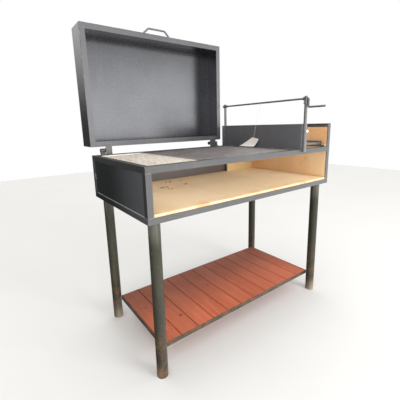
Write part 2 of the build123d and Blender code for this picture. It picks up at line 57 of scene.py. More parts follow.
def at(x, y, z):
    """A point in the row frame, from millimetres."""
    return CORNER + Vector((x, y, z)) * MM


def span_of(node):
    """A CAD node's lowest and highest corners, in millimetres from the body's corner."""
    low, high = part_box(node)
    return (low - CORNER) / MM, (high - CORNER) / MM


BODY_LOW, BODY_HIGH = span_of("base_rail_front")
RAIL_BACK_HIGH = span_of("top_rail_back")[1]
LID_LOW, LID_HIGH = span_of("lid_shell")
RIM_LOW, RIM_HIGH = span_of("lid_rim")
SHELF_LOW, SHELF_HIGH = span_of("shelf_frame")
DIVIDER_LOW, DIVIDER_HIGH = span_of("divider_plate")
MESH_LOW, MESH_HIGH = span_of("mesh_grate")
EMBER_LOW, EMBER_HIGH = span_of("ember_grate")
BODY_L = BODY_HIGH.x
BODY_D = RAIL_BACK_HIGH.y
BODY_BOTTOM = BODY_LOW.z
BODY_TOP = RAIL_BACK_HIGH.z
RAISED_TOP = DIVIDER_HIGH.z
ANGLE = BODY_HIGH.z - BODY_LOW.z
WALL = DIVIDER_HIGH.x - DIVIDER_LOW.x
FIRE_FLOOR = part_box("floor_slabs")[1].z
FRONT_FACE = CORNER.y

# ---------------- camera

CAMERA_PLACE = (-425.3, -896.8, 1033.8)
CAMERA_YAW = math.radians(36.34)
CAMERA_PITCH = math.radians(-11.74)
CAMERA_ROLL = math.radians(-1.42)
CAMERA_LENS = 25.93
CAMERA_SHIFT = (-0.0012, -0.036)


def make_camera():
    """The photograph's viewpoint: left of the front, a little above the grates."""
    forward = Vector(
        (
            math.sin(CAMERA_YAW) * math.cos(CAMERA_PITCH),
            math.cos(CAMERA_YAW) * math.cos(CAMERA_PITCH),
            math.sin(CAMERA_PITCH),
        )
    )
    right = Vector((math.cos(CAMERA_YAW), -math.sin(CAMERA_YAW), 0))
    up = right.cross(forward)
    right_rolled = right * math.cos(CAMERA_ROLL) + up * math.sin(CAMERA_ROLL)
    up_rolled = up * math.cos(CAMERA_ROLL) - right * math.sin(CAMERA_ROLL)
    turn = Matrix((right_rolled, up_rolled, -forward)).transposed()
    data = bpy.data.cameras.new("photo_view")
    data.sensor_width = 36
    data.lens = CAMERA_LENS
    data.shift_x, data.shift_y = CAMERA_SHIFT
    camera = bpy.data.objects.new("photo_view", data)
    bpy.context.scene.collection.objects.link(camera)
    camera.matrix_world = Matrix.Translation(at(*CAMERA_PLACE)) @ turn.to_4x4()
    bpy.context.scene.camera = camera


# ---------------- shading tools


def rgb(red, green, blue):
    """A linear colour from the usual 0 to 255 display values."""
    channels = [value / 255 for value in (red, green, blue)]
    return tuple(
        value / 12.92 if value <= 0.04045 else ((value + 0.055) / 1.055) ** 2.4
        for value in channels
    ) + (1.0,)


class Graph:
    """A node tree, with short calls for the nodes that the sky and the finishes share."""

    def __init__(self, tree):
        self.nodes = tree.nodes
        self.links = tree.links

    def feed(self, socket, value):
        """Puts a number, a colour or another node's output into a socket."""
        if isinstance(value, bpy.types.NodeSocket):
            self.links.new(value, socket)
        else:
            socket.default_value = value

    def add(self, kind, inputs=(), **settings):
        """A new node with its settings, and a value fed into each named or numbered input."""
        node = self.nodes.new(kind)
        for key, value in settings.items():
            setattr(node, key, value)
        for socket, value in dict(inputs).items():
            self.feed(node.inputs[socket], value)
        return node

    def band(self, value, low, high, out_low=0.0, out_high=1.0):
        """value between low and high, smoothly, as out_low to out_high."""
        inputs = enumerate((value, low, high, out_low, out_high))
        node = self.add("ShaderNodeMapRange", inputs, interpolation_type="SMOOTHSTEP")
        return node.outputs["Result"]

    def math(self, operation, first, second=1.0):
        inputs = enumerate((first, second))
        return self.add("ShaderNodeMath", inputs, operation=operation).outputs[0]

    def mix(self, amount, first, second):
        inputs = {0: amount, 6: first, 7: second}
        return self.add("ShaderNodeMix", inputs, data_type="RGBA").outputs[2]

    def dot(self, vector, direction):
        inputs = enumerate((vector, direction))
        return self.add("ShaderNodeVectorMath", inputs, operation="DOT_PRODUCT").outputs["Value"]

    def axis(self, vector, name):
        return self.add("ShaderNodeSeparateXYZ", {0: vector}).outputs[name]


class Finish(Graph):
    """A procedural material on the Principled shader: coats of colour laid over a body."""

    def __init__(self, name, metallic=0.0, specular=0.5):
        self.material = bpy.data.materials.new(name)
        self.material.use_nodes = True
        super().__init__(self.material.node_tree)
        self.shader = self.nodes["Principled BSDF"]
        self.shader.inputs["Metallic"].default_value = metallic
        self.shader.inputs["Specular IOR Level"].default_value = specular
        coordinates = self.add("ShaderNodeTexCoord")
        self.place = coordinates.outputs["Object"]
        self.facing = coordinates.outputs["Normal"]
        self.body = None

    def coat(self, colour, *masks):
        """Lays a colour over the body, by the product of the masks."""
        mask = masks[0]
        for other in masks[1:]:
            mask = self.math("MULTIPLY", mask, other)
        self.body = self.mix(mask, self.body, colour)

    def tint(self, colour, value, low, high, amount):
        """Lays a colour over the body, from none of it at low to the amount at high."""
        self.coat(colour, self.band(value, low, high, 0.0, amount))

    def done(self, roughness, relief=None):
        """Gives the shader the body, a roughness and a relief, and returns the material."""
        self.feed(self.shader.inputs["Base Color"], self.body)
        self.feed(self.shader.inputs["Roughness"], roughness)
        if relief is not None:
            self.feed(self.shader.inputs["Normal"], relief)
        return self.material

    def noise(self, scale, detail=4.0, roughness=0.55, stretch=(1, 1, 1), distortion=0.0):
        mapping = self.add("ShaderNodeMapping", {"Vector": self.place, "Scale": stretch})
        texture = self.add(
            "ShaderNodeTexNoise",
            {
                "Vector": mapping.outputs["Vector"],
                "Scale": scale,
                "Detail": detail,
                "Roughness": roughness,
                "Distortion": distortion,
            },
        )
        return texture.outputs["Fac"]

    def cells(self, scale):
        """Distance to scattered points, small at each point."""
        inputs = {"Vector": self.place, "Scale": scale}
        return self.add("ShaderNodeTexVoronoi", inputs).outputs["Distance"]

    def attribute(self, name, kind="GEOMETRY"):
        node = self.add("ShaderNodeAttribute", attribute_type=kind, attribute_name=name)
        return node.outputs["Fac"]

    def edges(self, radius):
        """1 on worn outer edges and in corners, 0 on flat ground."""
        rounded = self.add("ShaderNodeBevel", {"Radius": radius}, samples=4)
        ground = self.add("ShaderNodeNewGeometry")
        same = self.dot(rounded.outputs["Normal"], ground.outputs["Normal"])
        return self.band(self.math("SUBTRACT", 1.0, same), 0.03, 0.22)

    def bump(self, height, strength, distance, under=None):
        inputs = {"Strength": strength, "Distance": distance, "Height": height}
        if under is not None:
            inputs["Normal"] = under
        return self.add("ShaderNodeBump", inputs).outputs["Normal"]


# ---------------- finishes


def steel(name, colour, metallic=0.85, roughness=0.42, wear=0.35, rust=0.0, painted_front_sheen=0.0):
    """Satin metallic paint on sheet and bar: faint clouds, fine grain, scuffs, dust, worn edges, and
    where asked a painted sheen toward the front.
    """
    finish = Finish(name, metallic=metallic)
    shade = tuple(0.86 * value for value in colour[:3]) + (1.0,)
    fine = finish.noise(190.0, detail=3.0)
    finish.body = finish.mix(finish.band(finish.noise(4.0), 0.28, 0.74), shade, colour)
    streaks = finish.noise(26.0, detail=6.0, roughness=0.7, stretch=(1.0, 1.0, 0.07))
    finish.tint(rgb(190, 190, 190), streaks, 0.56, 0.8, 0.1)
    finish.tint(rgb(52, 52, 55), finish.noise(420.0, detail=2.0), 0.62, 0.74, 0.25)
    scuffs = finish.noise(55.0, detail=7.0, roughness=0.75, stretch=(0.25, 1.6, 1.6), distortion=0.6)
    finish.tint(rgb(176, 175, 174), scuffs, 0.65, 0.74, 0.14)
    # Painted sheen: the paint is lightened toward the front, where the sheet catches more light.
    if painted_front_sheen:
        finish.tint(rgb(196, 200, 204), finish.axis(finish.place, "Y"), 0.1, -0.36, painted_front_sheen)
    patches = finish.band(finish.noise(35.0, detail=5.0), 0.38, 0.62)
    finish.coat(rgb(206, 206, 204), finish.edges(0.0022), patches, wear)
    if rust:
        bloom = finish.noise(22.0, detail=8.0, roughness=0.7)
        rusty = finish.mix(finish.noise(90.0), rgb(74, 44, 28), rgb(134, 82, 48))
        finish.tint(rusty, bloom, 0.62 - 0.1 * rust, 0.74 - 0.08 * rust, 0.75)
    upward = finish.band(finish.axis(finish.facing, "Z"), 0.6, 0.95)
    dusty = finish.band(finish.noise(24.0, detail=8.0, roughness=0.65), 0.36, 0.72, 0.0, 0.22)
    finish.coat(rgb(186, 180, 170), upward, dusty)
    gloss = finish.band(fine, 0.3, 0.7, roughness + 0.03, roughness - 0.02)
    return finish.done(gloss, finish.bump(fine, 0.3, 0.0001))


def leg_finish(name, colour, dark, speckle):
    """Dark paint on tube and shelf angle: scuffed speckles, rust and mud close to the floor."""
    finish = Finish(name, metallic=0.25)
    height = finish.axis(finish.place, "Z")
    clouds = finish.noise(9.0, detail=6.0, stretch=(1, 1, 0.35))
    finish.body = finish.mix(finish.band(clouds, 0.3, 0.7), dark, colour)
    flecks = finish.noise(190.0, roughness=0.7)
    finish.tint(rgb(158, 150, 130), flecks, 0.56, 0.68, speckle)
    finish.tint(rgb(40, 36, 28), flecks, 0.44, 0.32, speckle)
    runs = finish.noise(30.0, detail=6.0, roughness=0.7, stretch=(1, 1, 0.05))
    finish.tint(rgb(120, 112, 92), runs, 0.55, 0.75, 0.4)
    thin = finish.band(height, 0.57, 0.67, 0.0, 0.38)
    finish.coat(rgb(150, 148, 138), thin, finish.band(runs, 0.38, 0.6))
    bloom = finish.band(finish.noise(26.0, detail=8.0, roughness=0.7), 0.42, 0.66)
    rusty = finish.mix(finish.noise(80.0), rgb(80, 52, 34), rgb(140, 96, 62))
    finish.coat(rusty, finish.band(height, 0.34, 0.0), bloom)
    finish.coat(rgb(150, 138, 118), finish.band(height, 0.1, 0.0), finish.band(clouds, 0.3, 0.6))
    finish.coat(rgb(150, 144, 130), finish.edges(0.002), 0.5)
    pitted = finish.bump(finish.noise(300.0, detail=3.0), 0.4, 0.0002)
    relief = finish.bump(clouds, 0.3, 0.001, under=pitted)
    return finish.done(finish.band(flecks, 0.3, 0.7, 0.48, 0.72), relief)


def decking_finish():
    """Red-brown stained softwood: long grain, blotchy stain, pale flecks, a few knots, and painted shade
    toward the back.
    """
    finish = Finish("stained_decking")
    # Painted shade: the boards darken toward the back, where the body above shades the shelf.
    painted_back_shade = finish.band(finish.axis(finish.place, "Y"), -0.2, 0.16, 0.0, 0.8)
    tone = finish.attribute("tone", "OBJECT")
    along, down = finish.math("MULTIPLY", tone, 3.0), finish.math("MULTIPLY", tone, 7.0)
    offset = finish.add("ShaderNodeCombineXYZ", {"Y": along, "Z": down}).outputs[0]
    inputs = enumerate((finish.place, offset))
    finish.place = finish.add("ShaderNodeVectorMath", inputs, operation="ADD").outputs["Vector"]
    grain = finish.noise(70.0, detail=7.0, roughness=0.65, stretch=(1, 0.05, 1), distortion=0.35)
    fine_grain = finish.noise(320.0, roughness=0.6, stretch=(1, 0.05, 1))
    blotch = finish.noise(7.0, detail=6.0, roughness=0.6, stretch=(1, 0.6, 1))
    speckle = finish.noise(150.0, detail=5.0, roughness=0.75, stretch=(1, 0.45, 1))
    finish.body = finish.mix(finish.band(grain, 0.32, 0.68), rgb(168, 74, 44), rgb(202, 104, 64))
    finish.tint(rgb(168, 92, 66), blotch, 0.36, 0.66, 0.6)
    finish.tint(rgb(204, 112, 80), tone, 0.0, 1.0, 0.35)
    finish.tint(rgb(112, 48, 28), fine_grain, 0.56, 0.74, 0.5)
    finish.tint(rgb(214, 150, 112), speckle, 0.6, 0.72, 0.4)
    finish.tint(rgb(118, 50, 30), speckle, 0.4, 0.3, 0.45)
    finish.tint(rgb(82, 34, 22), finish.cells(7.5), 0.11, 0.02, 0.8)
    # Lays the painted shade over the back of the shelf.
    finish.coat(rgb(104, 54, 36), painted_back_shade)
    finish.coat(rgb(112, 52, 34), finish.edges(0.0025), 0.45)
    relief = finish.bump(fine_grain, 0.5, 0.0003, under=finish.bump(grain, 0.5, 0.0009))
    return finish.done(finish.band(blotch, 0.3, 0.7, 0.62, 0.8), relief)


def brick_finish(name, deep, pale):
    """Firebrick: sandy body, soft brown stains and specks, and a tone for each brick."""
    finish = Finish(name, specular=0.3)
    clouds = finish.noise(6.0, detail=6.0, roughness=0.6)
    sand = finish.noise(260.0, roughness=0.7)
    finish.body = finish.mix(finish.attribute("tone"), deep, pale)
    finish.tint(rgb(236, 192, 142), clouds, 0.42, 0.7, 0.3)
    finish.tint(rgb(255, 238, 208), sand, 0.58, 0.72, 0.35)
    finish.tint(rgb(196, 148, 100), sand, 0.42, 0.3, 0.4)
    stains = finish.noise(9.0, detail=9.0, roughness=0.7, distortion=1.2)
    finish.tint(rgb(206, 136, 76), stains, 0.6, 0.74, 0.4)
    specks = finish.band(finish.noise(75.0, detail=6.0, roughness=0.8, distortion=0.5), 0.68, 0.76)
    finish.coat(rgb(134, 84, 44), specks, finish.band(clouds, 0.48, 0.62), 0.6)
    low = finish.band(finish.axis(finish.place, "Z"), FIRE_FLOOR + 0.006, FIRE_FLOOR - 0.004)
    front = finish.band(finish.axis(finish.place, "Y"), FRONT_FACE + 0.075, FRONT_FACE + 0.004)
    scorch = finish.band(finish.noise(13.0, detail=7.0, roughness=0.65), 0.4, 0.66, 0.05, 0.65)
    finish.coat(rgb(226, 146, 70), low, front, scorch)
    finish.coat(rgb(244, 212, 168), finish.edges(0.002), 0.3)
    pores = finish.bump(sand, 0.6, 0.0005, under=finish.bump(clouds, 0.4, 0.002))
    return finish.done(finish.band(clouds, 0.3, 0.7, 0.82, 0.95), pores)


def grate_finish(name, colour, dark, stain, amount, metallic, roughness):
    """Heated bar and mesh: bright metal or scale with burnt brown and grey patches, and a painted
    highlight on up-facing sides.
    """
    finish = Finish(name, metallic=metallic)
    clouds = finish.noise(13.0, detail=6.0, roughness=0.65)
    fine = finish.noise(230.0, roughness=0.7)
    finish.body = finish.mix(finish.band(clouds, 0.32, 0.68), dark, colour)
    burnt = finish.noise(20.0, detail=7.0, roughness=0.7, distortion=0.5)
    finish.tint(stain, burnt, 0.5, 0.66, amount)
    finish.tint(rgb(64, 52, 46), fine, 0.58, 0.7, 0.4)
    # Painted highlight: up-facing sides are lightened, as if lit from above.
    finish.tint(rgb(222, 216, 208), finish.axis(finish.facing, "Z"), 0.4, 0.9, 0.3)
    gloss = finish.band(burnt, 0.35, 0.65, roughness - 0.08, roughness + 0.12)
    return finish.done(gloss, finish.bump(fine, 0.5, 0.0002))


def weld_finish():
    """Weld metal: scale grey with straw and blue tints."""
    finish = Finish("weld_metal", metallic=0.75)
    tint = finish.noise(120.0, detail=3.0)
    finish.body = finish.mix(finish.band(tint, 0.35, 0.65), rgb(136, 136, 138), rgb(186, 184, 180))
    finish.tint(rgb(150, 128, 100), tint, 0.58, 0.78, 0.4)
    relief = finish.bump(finish.noise(700.0, detail=2.0), 0.3, 0.0001)
    return finish.done(finish.band(tint, 0.3, 0.7, 0.34, 0.52), relief)


def zinc_finish():
    """Bright plated metal, slightly clouded."""
    finish = Finish("bright_zinc", metallic=0.45)
    clouds = finish.noise(180.0)
    finish.body = finish.mix(clouds, rgb(236, 238, 240), rgb(252, 252, 250))
    return finish.done(finish.band(clouds, 0.3, 0.7, 0.25, 0.36), finish.bump(clouds, 0.2, 0.0001))


def card_finish():
    """Uncoated card: paper fibre, faint handling marks."""
    finish = Finish("tag_card", specular=0.2)
    fibre = finish.noise(900.0, roughness=0.7)
    finish.body = finish.mix(finish.band(fibre, 0.3, 0.7), rgb(250, 238, 230), rgb(255, 250, 246))
    marks = finish.noise(60.0, detail=6.0, roughness=0.7)
    finish.tint(rgb(196, 176, 164), marks, 0.58, 0.72, 0.35)
    return finish.done(0.85, finish.bump(fibre, 0.4, 0.0001))


def string_finish():
    """Cotton string: the twist shows as slanted ribs."""
    finish = Finish("cotton_string", specular=0.1)
    finish.shader.inputs["Sheen Weight"].default_value = 0.3
    inputs = {"Vector": finish.place, "Scale": 320.0, "Distortion": 1.5}
    waves = finish.add("ShaderNodeTexWave", inputs, wave_type="BANDS", bands_direction="DIAGONAL")
    twist = waves.outputs["Fac"]
    finish.body = finish.mix(twist, rgb(196, 184, 170), rgb(238, 230, 218))
    return finish.done(0.9, finish.bump(twist, 0.7, 0.0003))


def floor_finish():
    finish = Finish("studio_floor", specular=0.15)
    clouds = finish.noise(2.0, detail=3.0)
    finish.body = finish.mix(clouds, rgb(214, 214, 212), rgb(220, 219, 217))
    return finish.done(0.8)


# ---------------- mesh tools


def make_piece(name, bm, material, body, replaced=()):
    """Turns a bmesh into a named piece that rides on a body."""
    bmesh.ops.recalc_face_normals(bm, faces=bm.faces)
    mesh = bpy.data.meshes.new(name)
    bm.to_mesh(mesh)
    bm.free()
    mesh.shade_smooth()
    mesh.set_sharp_from_angle(angle=math.radians(40))
    piece = bpy.data.objects.new(name, mesh)
    bpy.context.scene.collection.objects.link(piece)
    mesh.materials.append(material)
    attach(piece, body)
    if replaced:
        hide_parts(*replaced)
    return piece


def round_section(radius, sides=8):
    """Points of a circle, as (across, rise) in millimetres."""
    return [
        (radius * math.cos(math.tau * step / sides), radius * math.sin(math.tau * step / sides))
        for step in range(sides)
    ]


def box_section(width, height, tilt=0.0):
    """A rectangle with cut corners, turned by tilt about the path."""
    cut = 0.18 * min(width, height)
    half_w, half_h = width / 2, height / 2
    corners = []
    for sign_u, sign_v in ((1, 1), (-1, 1), (-1, -1), (1, -1)):
        first = (sign_u * half_w, sign_v * (half_h - cut))
        second = (sign_u * (half_w - cut), sign_v * half_h)
        corners += [first, second] if sign_u * sign_v > 0 else [second, first]
    cos_t, sin_t = math.cos(tilt), math.sin(tilt)
    return [(u * cos_t - v * sin_t, u * sin_t + v * cos_t) for u, v in corners]


def sweep(bm, path, section, up=Vector((0, 0, 1)), sizes=None, closed=False):
    """Carries a section along a path of millimetre points and closes its ends."""
    count = len(path)
    rings = []
    for index, point in enumerate(path):
        before = path[index - 1] if closed or index else path[0]
        after = path[(index + 1) % count] if closed or index < count - 1 else path[-1]
        along = (Vector(after) - Vector(before)).normalized()
        across = along.cross(up).normalized()
        rise = across.cross(along)
        size = sizes[index] if sizes else 1.0
        ring = []
        for u, v in section:
            place = Vector(point) + (across * u + rise * v) * size
            ring.append(bm.verts.new(at(*place)))
        rings.append(ring)
    sides = len(section)
    for index in range(count if closed else count - 1):
        first, second = rings[index], rings[(index + 1) % count]
        for side in range(sides):
            following = (side + 1) % sides
            bm.faces.new((first[side], first[following], second[following], second[side]))
    if not closed:
        bm.faces.new(rings[0])
        bm.faces.new(rings[-1])


def along_line(start, end, step):
    """Evenly spaced points from start to end, about step apart."""
    start, end = Vector(start), Vector(end)
    count = max(2, round((end - start).length / step))
    return [start.lerp(end, index / count) for index in range(count + 1)]


RIPPLE_PITCH = 2.4
RIPPLE_STEP = 0.8


class Welds:
    """Weld beads laid into one piece, with the random draws for their ripples."""

    def __init__(self, rng):
        self.bm = bmesh.new()
        self.rng = rng

    def bead(self, points, radius, closed=False, up=None):
        """Overlapping ripples of uneven size along dense points."""
        phase = self.rng.uniform(0, math.tau)
        sizes = []
        for index in range(len(points)):
            ripple = 0.12 * math.sin(math.tau * index * RIPPLE_STEP / RIPPLE_PITCH + phase)
            size = 0.92 + ripple + self.rng.uniform(-0.05, 0.05)
            if not closed:
                from_end = min(index, len(points) - 1 - index)
                size *= min(1.0, 0.45 + 0.2 * from_end)
            sizes.append(size)
        if up is None:
            run = (points[-1] - points[0]).normalized() if not closed else Vector((1, 0, 0))
            up = Vector((0, 1, 0)) if abs(run.z) > 0.9 else Vector((0, 0, 1))
        sweep(self.bm, points, round_section(radius, 7), up=up, sizes=sizes, closed=closed)

    def line(self, start, end, radius):
        self.bead(along_line(start, end, RIPPLE_STEP), radius)

    def stitches(self, start, end, radius, length=24.0, pitch=118.0):
        """Short welds spaced along a seam."""
        start, end = Vector(start), Vector(end)
        run = end - start
        count = max(1, int(run.length / pitch))
        for index in range(count):
            middle = (index + 0.5) / count + self.rng.uniform(-0.02, 0.02)
            half = length * self.rng.uniform(0.8, 1.2) / 2 / run.length
            self.line(start + run * (middle - half), start + run * (middle + half), radius)

    def ring(self, centre, radius, bead_radius):
        """A closed bead on a level circle."""
        count = round(math.tau * radius / RIPPLE_STEP)
        turns = [math.tau * index / count for index in range(count)]
        points = [Vector(centre) + Vector((math.cos(turn), math.sin(turn), 0)) * radius for turn in turns]
        self.bead(points, bead_radius, closed=True)

    def done(self, name, material, body, slot):
        make_piece(name, self.bm, material, body)


def spread(low, high, edge, step):
    """Grid lines between two faces, closer together inside the rounded edges."""
    count = max(1, round((high - low - 2 * edge) / step))
    inner = [low + edge + (high - low - 2 * edge) * index / count for index in range(count + 1)]
    return [low, low + 0.35 * edge] + inner + [high - 0.35 * edge, high]


def worn_block(bm, low, high, edge, step, rough, seed, tone):
    """A block with rounded, chipped edges and slightly uneven faces, and its tone on each point."""
    tone_layer = bm.verts.layers.float.get("tone") or bm.verts.layers.float.new("tone")
    lines = [spread(low[a], high[a], edge, step) for a in range(3)]
    shift = Vector((seed * 17.3, seed * 5.1, seed * 9.7))
    made = {}

    def vertex(key):
        if key in made:
            return made[key]
        raw = Vector([lines[a][key[a]] for a in range(3)])
        wear = edge * (1 + 0.7 * noise.noise(raw * 0.06 + shift))
        nearest = Vector([min(max(raw[a], low[a] + wear), high[a] - wear) for a in range(3)])
        away = raw - nearest
        outward = away.normalized() if away.length else away
        hollow = rough * (0.5 + 0.5 * noise.noise(raw * 0.045 + shift * 2))
        place = nearest + outward * (min(wear, away.length) - hollow)
        made[key] = bm.verts.new(at(*place))
        made[key][tone_layer] = tone
        return made[key]

    for a in range(3):
        b, c = (a + 1) % 3, (a + 2) % 3
        for fixed in (0, len(lines[a]) - 1):
            for j in range(len(lines[b]) - 1):
                for k in range(len(lines[c]) - 1):
                    quad = []
                    for dj, dk in ((0, 0), (1, 0), (1, 1), (0, 1)):
                        key = [0, 0, 0]
                        key[a], key[b], key[c] = fixed, j + dj, k + dk
                        quad.append(vertex(tuple(key)))
                    bm.faces.new(quad)


# ---------------- brick lining

BRICK_EDGE = 0.9
BRICK_GRID = 11.0
BRICK_ROUGH = 0.35
BRICK_SNUG = 0.35
THIN = 40.0


def loose_parts(node):
    """The box of each separate solid in a CAD node, in millimetres."""
    bm = bmesh.new()
    bm.from_mesh(NODES[node].data)
    bmesh.ops.remove_doubles(bm, verts=bm.verts, dist=1e-5)
    left = set(bm.verts)
    boxes = []
    while left:
        queue = [left.pop()]
        members = []
        while queue:
            vertex = queue.pop()
            members.append((vertex.co - CORNER) / MM)
            for edge in vertex.link_edges:
                other = edge.other_vert(vertex)
                if other in left:
                    left.discard(other)
                    queue.append(other)
        low = Vector([min(point[a] for point in members) for a in range(3)])
        high = Vector([max(point[a] for point in members) for a in range(3)])
        boxes.append((low, high))
    bm.free()
    return sorted(boxes, key=lambda ends: tuple(round(value) for value in ends[0]))


def lay_bricks(name, node, material, tones, rng):
    """Worn bricks in the places of a CAD node's plain ones, each with its tone from 0 to 1."""
    bm = bmesh.new()
    for (low, high), tone in zip(loose_parts(node), tones):
        seed = rng.uniform(1, 50)
        snug = Vector([BRICK_SNUG if span > THIN else 0.0 for span in high - low])
        worn_block(bm, low - snug, high + snug, BRICK_EDGE, BRICK_GRID, BRICK_ROUGH, seed, tone)
    make_piece(name, bm, material, "table", [node])


CRUMB_HEAPS = (
    ((294, 396), 4, 15),
    ((390, 506), 4, 14),
    ((412, 399), 2, 10),
    ((455, 494), 2, 9),
    ((289, 346), 2, 8),
)


def scatter_crumbs(material, rng):
    """Burnt brown crumbs in loose heaps on the slabs: each heap's place, count and spread."""
    bm = bmesh.new()
    top = FIRE_FLOOR / MM
    for (heap_x, heap_y), count, reach in CRUMB_HEAPS:
        for _ in range(count):
            x, y = heap_x + rng.gauss(0, reach), heap_y + rng.gauss(0, 0.6 * reach)
            size = Vector((rng.uniform(3.5, 11.0), rng.uniform(2.5, 6.0), rng.uniform(1.0, 2.2)))
            turned = Matrix.Rotation(rng.uniform(0, math.pi), 4, "Z")
            made = bmesh.ops.create_icosphere(bm, subdivisions=3, radius=1.0)
            shift = Vector((rng.uniform(0, 90), 0, 0))
            for vertex in made["verts"]:
                swell = 0.5 * noise.noise(vertex.co * 1.3 + shift)
                swell += 0.3 * noise.noise(vertex.co * 3.4 + shift)
                lumpy = vertex.co * (1 + swell)
                local = turned @ Vector([lumpy[a] * size[a] for a in range(3)])
                vertex.co = at(x + local.x, y + local.y, top + size.z * 0.55 + local.z)
    make_piece("brick_crumbs", bm, material, "table")


# ---------------- grates

DIAMOND_LONG = 60.0
DIAMOND_SHORT = 25.0
STRAND_W = 3.4
STRAND_T = 1.8
STRAND_TILT = math.radians(32)
BOND_HALF = 3.2
MESH_BAR = 8.0


def zigzag(centre_x, first_y, last_y, side, level_z):
    """A strand's path: straight legs between short flat bonds, rising to each side in turn."""
    swing = DIAMOND_SHORT / 4 - STRAND_W * math.cos(STRAND_TILT) / 2 + 0.25
    lift = STRAND_W * math.sin(STRAND_TILT) / 2
    half_period = DIAMOND_LONG / 2
    points = []
    bond_y = first_y - half_period
    sign = side
    while bond_y < last_y + half_period:
        for offset in (-BOND_HALF, -0.4 * BOND_HALF, 0.4 * BOND_HALF, BOND_HALF):
            bow = 1.0 - 0.12 * (offset / BOND_HALF) ** 2
            x, z = centre_x + sign * swing * bow, level_z - sign * lift * 0.8
            points.append(Vector((x, bond_y + offset, z)))
        bond_y += half_period
        sign = -sign
    inside = [index for index, point in enumerate(points) if first_y <= point.y <= last_y]
    first, last = inside[0], inside[-1]
    ends = []
    for near, beyond, edge_y in ((first, first - 1, first_y), (last, last + 1, last_y)):
        share = (edge_y - points[near].y) / (points[beyond].y - points[near].y)
        ends.append(points[near].lerp(points[beyond], share))
    return [ends[0], *points[first : last + 1], ends[1]]


BUTT_GAP = 0.15


def make_mesh_grate(material, weld, rng):
    """Expanded metal on a square bar frame."""
    low, high = MESH_LOW, MESH_HIGH
    strands, bars, welds = bmesh.new(), bmesh.new(), Welds(rng)
    inner = MESH_BAR * 0.55
    half_pitch = DIAMOND_SHORT / 2
    lines = int((high.x - low.x - 2 * inner) / half_pitch)
    first_x = (low.x + high.x) / 2 - (lines - 1) * half_pitch / 2
    level_z = low.z + 2.4
    for index in range(lines):
        side = 1 if index % 2 else -1
        path = zigzag(first_x + index * half_pitch, low.y + inner, high.y - inner, side, level_z)
        sweep(strands, path, box_section(STRAND_W, STRAND_T, STRAND_TILT))
    make_piece("expanded_mesh", strands, material, "mesh_grate", ["mesh_grate"])

    half = MESH_BAR / 2
    left, right, front, back = low.x + half, high.x - half, low.y + half, high.y - half
    corners = [(left, front), (right, front), (right, back), (left, back)]
    for (x0, y0), (x1, y1) in zip(corners, corners[1:] + corners[:1]):
        run = Vector((x1 - x0, y1 - y0, 0)).normalized()
        in_from_corner = run * (half + BUTT_GAP if run.x == 0 else -half)
        start = Vector((x0, y0, low.z + half)) + in_from_corner
        end = Vector((x1, y1, low.z + half)) - in_from_corner
        sweep(bars, wavy(start, end, 0.25, rng), box_section(MESH_BAR - 0.4, MESH_BAR - 0.4))
    make_piece("mesh_frame", bars, material, "mesh_grate")

    for x, y in corners:
        side_x, side_y = (1 if x == left else -1), (1 if y == front else -1)
        corner = Vector((x, y, high.z - 0.8))
        start = corner + Vector((-side_x, side_y, 0)) * half * 0.8
        welds.line(start, corner + Vector((side_x, side_y, 0)) * half, 1.3)
    welds.done("mesh_frame_welds", weld, "mesh_grate", "expanded_metal")


def wavy(start, end, bow, rng, step=30.0):
    """A nearly straight path with a slight bow, as in hand-cut bar."""
    points = along_line(start, end, step)
    sideways = (points[-1] - points[0]).cross(Vector((0, 0, 1))).normalized()
    phase = rng.uniform(0, math.tau)
    drift = rng.uniform(-1, 1)
    last = len(points) - 1
    for index, point in enumerate(points):
        share = index / last
        lean = drift * math.sin(math.pi * share) + 0.4 * math.sin(math.tau * 1.5 * share + phase)
        point += sideways * bow * lean * math.sin(math.pi * share)
    return points


def round_bar(bm, start, end, radius, bow, rng, sides=14):
    """A cut length of round bar with broken edges at its ends."""
    path = wavy(Vector(start), Vector(end), bow, rng)
    run = (path[-1] - path[0]).normalized()
    cut = 0.18 * radius
    path = [path[0], path[0] + run * cut] + path[1:-1] + [path[-1] - run * cut, path[-1]]
    sizes = [0.8] + [1.0] * (len(path) - 2) + [0.8]
    sweep(bm, path, round_section(radius, sides), sizes=sizes)


BAR_R = 4.0
BAR_PITCH = 18.0
CROSS_BAR_W = 20.0
CROSS_BAR_T = 5.0


def make_bar_grate(node, material, weld, rng):
    """Round bars on flat cross bars, tacked at every crossing."""
    low, high = span_of(node)
    gaps = round((high.x - low.x - 2 * BAR_R) / BAR_PITCH)
    pitch = (high.x - low.x - 2 * BAR_R) / gaps
    bar_z = high.z - BAR_R
    cross_z = high.z - 2 * BAR_R + 0.5 - CROSS_BAR_T / 2
    cross_ys = (70.0, (low.y + high.y) / 2, 530.0)
    bars, welds = bmesh.new(), Welds(rng)
    for index in range(gaps + 1):
        x = low.x + BAR_R + index * pitch
        bow = 0.0 if index in (0, gaps) else 0.5
        round_bar(bars, (x, low.y + rng.uniform(0, 1.2), bar_z), (x, high.y, bar_z), BAR_R, bow, rng)
        for y in cross_ys:
            for side in (-1, 1):
                contact = Vector((x + side * 2.9, y, bar_z - 3.2))
                reach = Vector((0, rng.uniform(4.0, 6.5), 0))
                welds.line(contact - reach, contact + reach, 1.5)
    for y in cross_ys:
        ends = (Vector((low.x + 0.2, y, cross_z)), Vector((high.x - 0.2, y, cross_z)))
        sweep(bars, wavy(*ends, 0.3, rng), box_section(CROSS_BAR_W, CROSS_BAR_T))
    make_piece(f"{node}_bars", bars, material, node, [node])
    welds.done(f"{node}_welds", weld, node, "grate_steel")


EMBER_SIDE = 5.0
EMBER_ROD_R = 5.0
EMBER_RODS = 16


